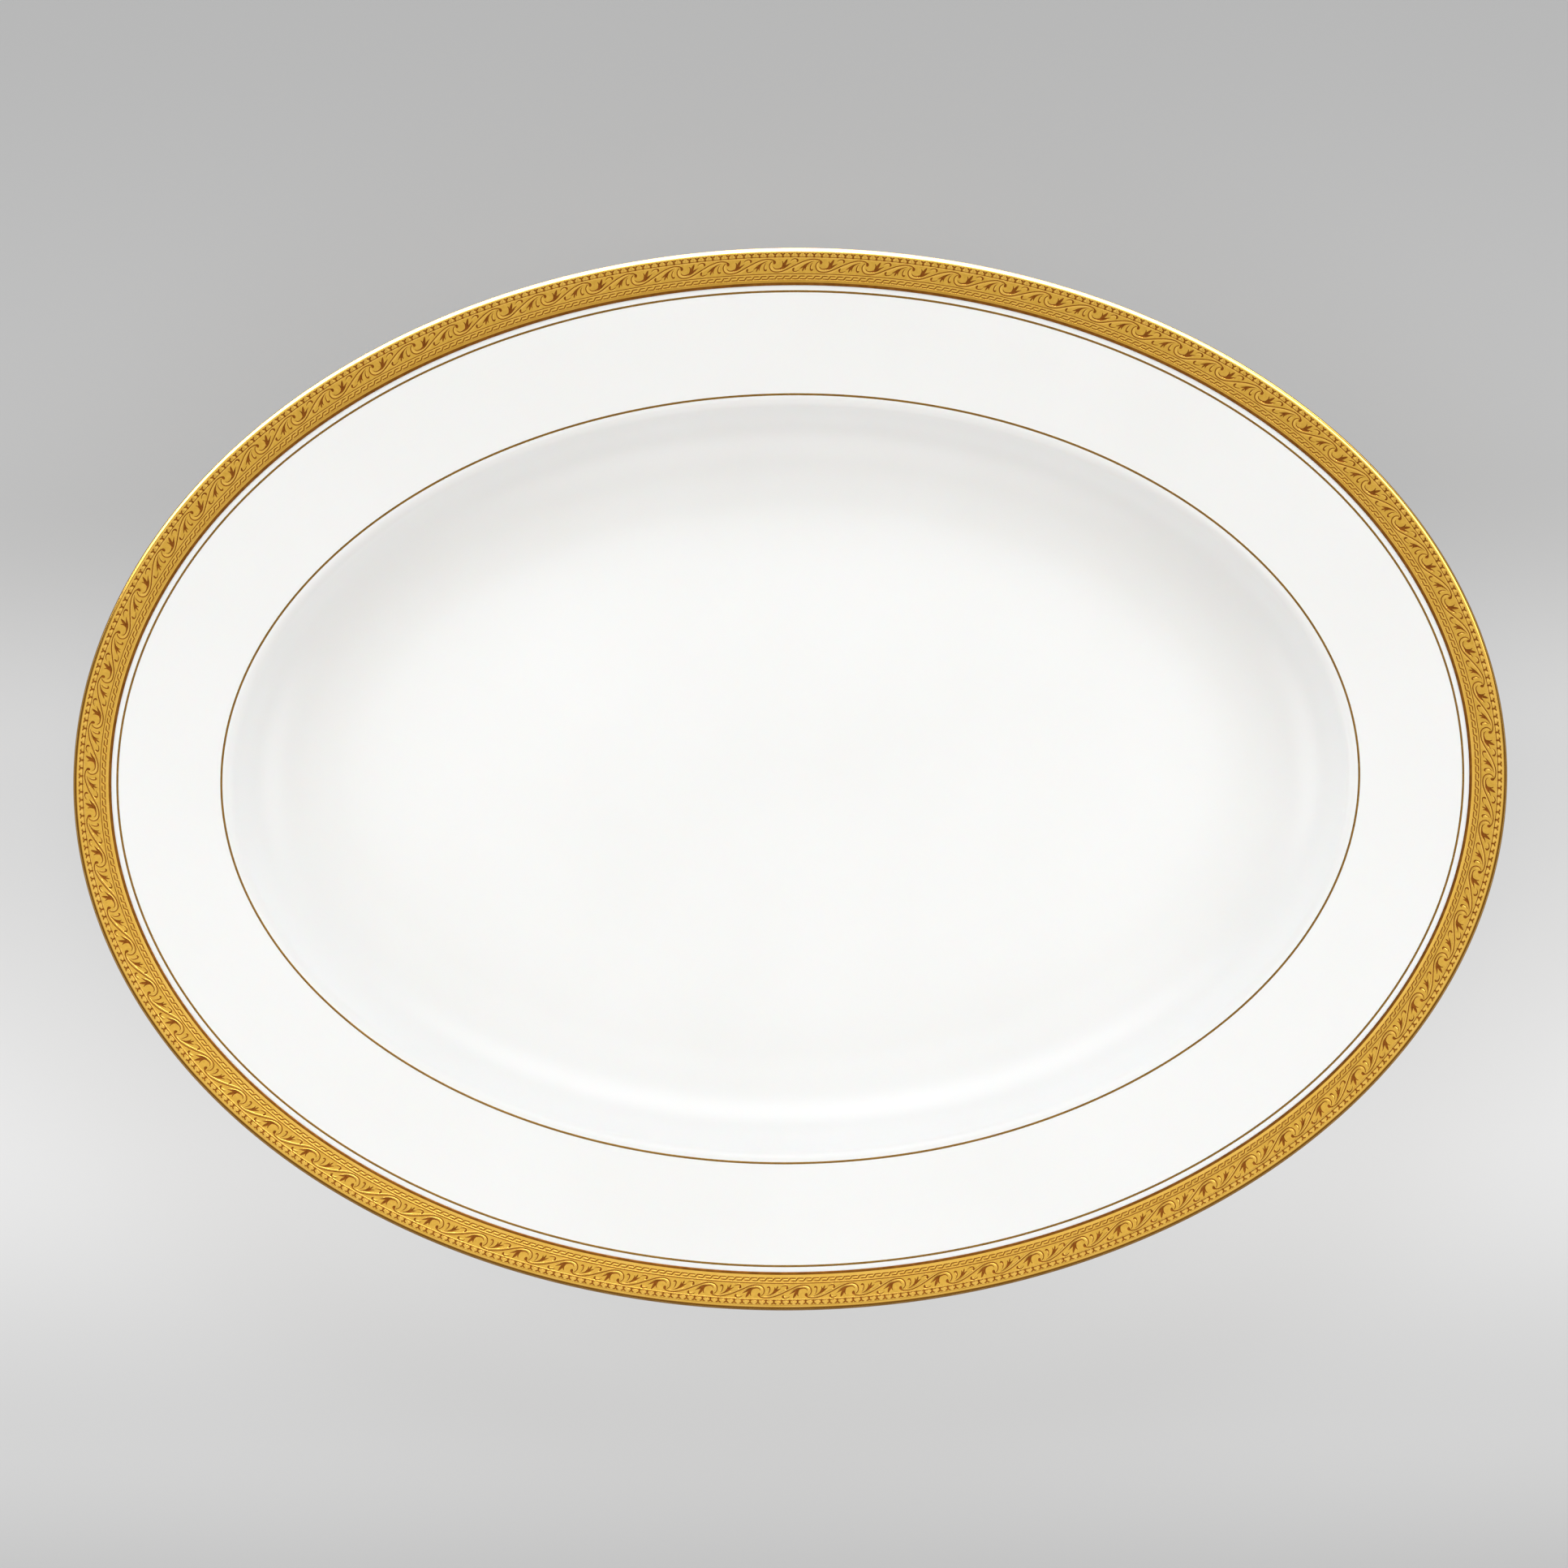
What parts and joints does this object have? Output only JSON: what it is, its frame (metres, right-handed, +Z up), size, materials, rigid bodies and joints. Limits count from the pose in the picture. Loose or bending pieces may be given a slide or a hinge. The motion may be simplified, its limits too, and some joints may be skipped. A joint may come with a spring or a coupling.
{
  "type": "serving platter",
  "caption": "Oval bone china serving platter with a sloping rim, a shallow well on a foot ring, an etched gold border of scrolling leaves and key pattern, and fine gold lines",
  "frame": {"origin": "centre of the oval, in the plane that the foot ring rests on", "axes": "+Z up, out of the well; +X along the long axis of the oval; +Y along its short axis"},
  "size_m": [0.406, 0.302, 0.0338],
  "materials": {
    "glazed_china": "gloss",
    "polished_gold": "polished",
    "etched_gold": "satin"
  },
  "bodies": {
    "root": {"china_body": "glazed_china", "lip_gilding": "polished_gold", "dart_border": "etched_gold", "scroll_border": "etched_gold", "key_border": "etched_gold", "inner_border": "polished_gold", "hairline": "polished_gold", "verge_line": "polished_gold"}
  },
  "joints": []
}
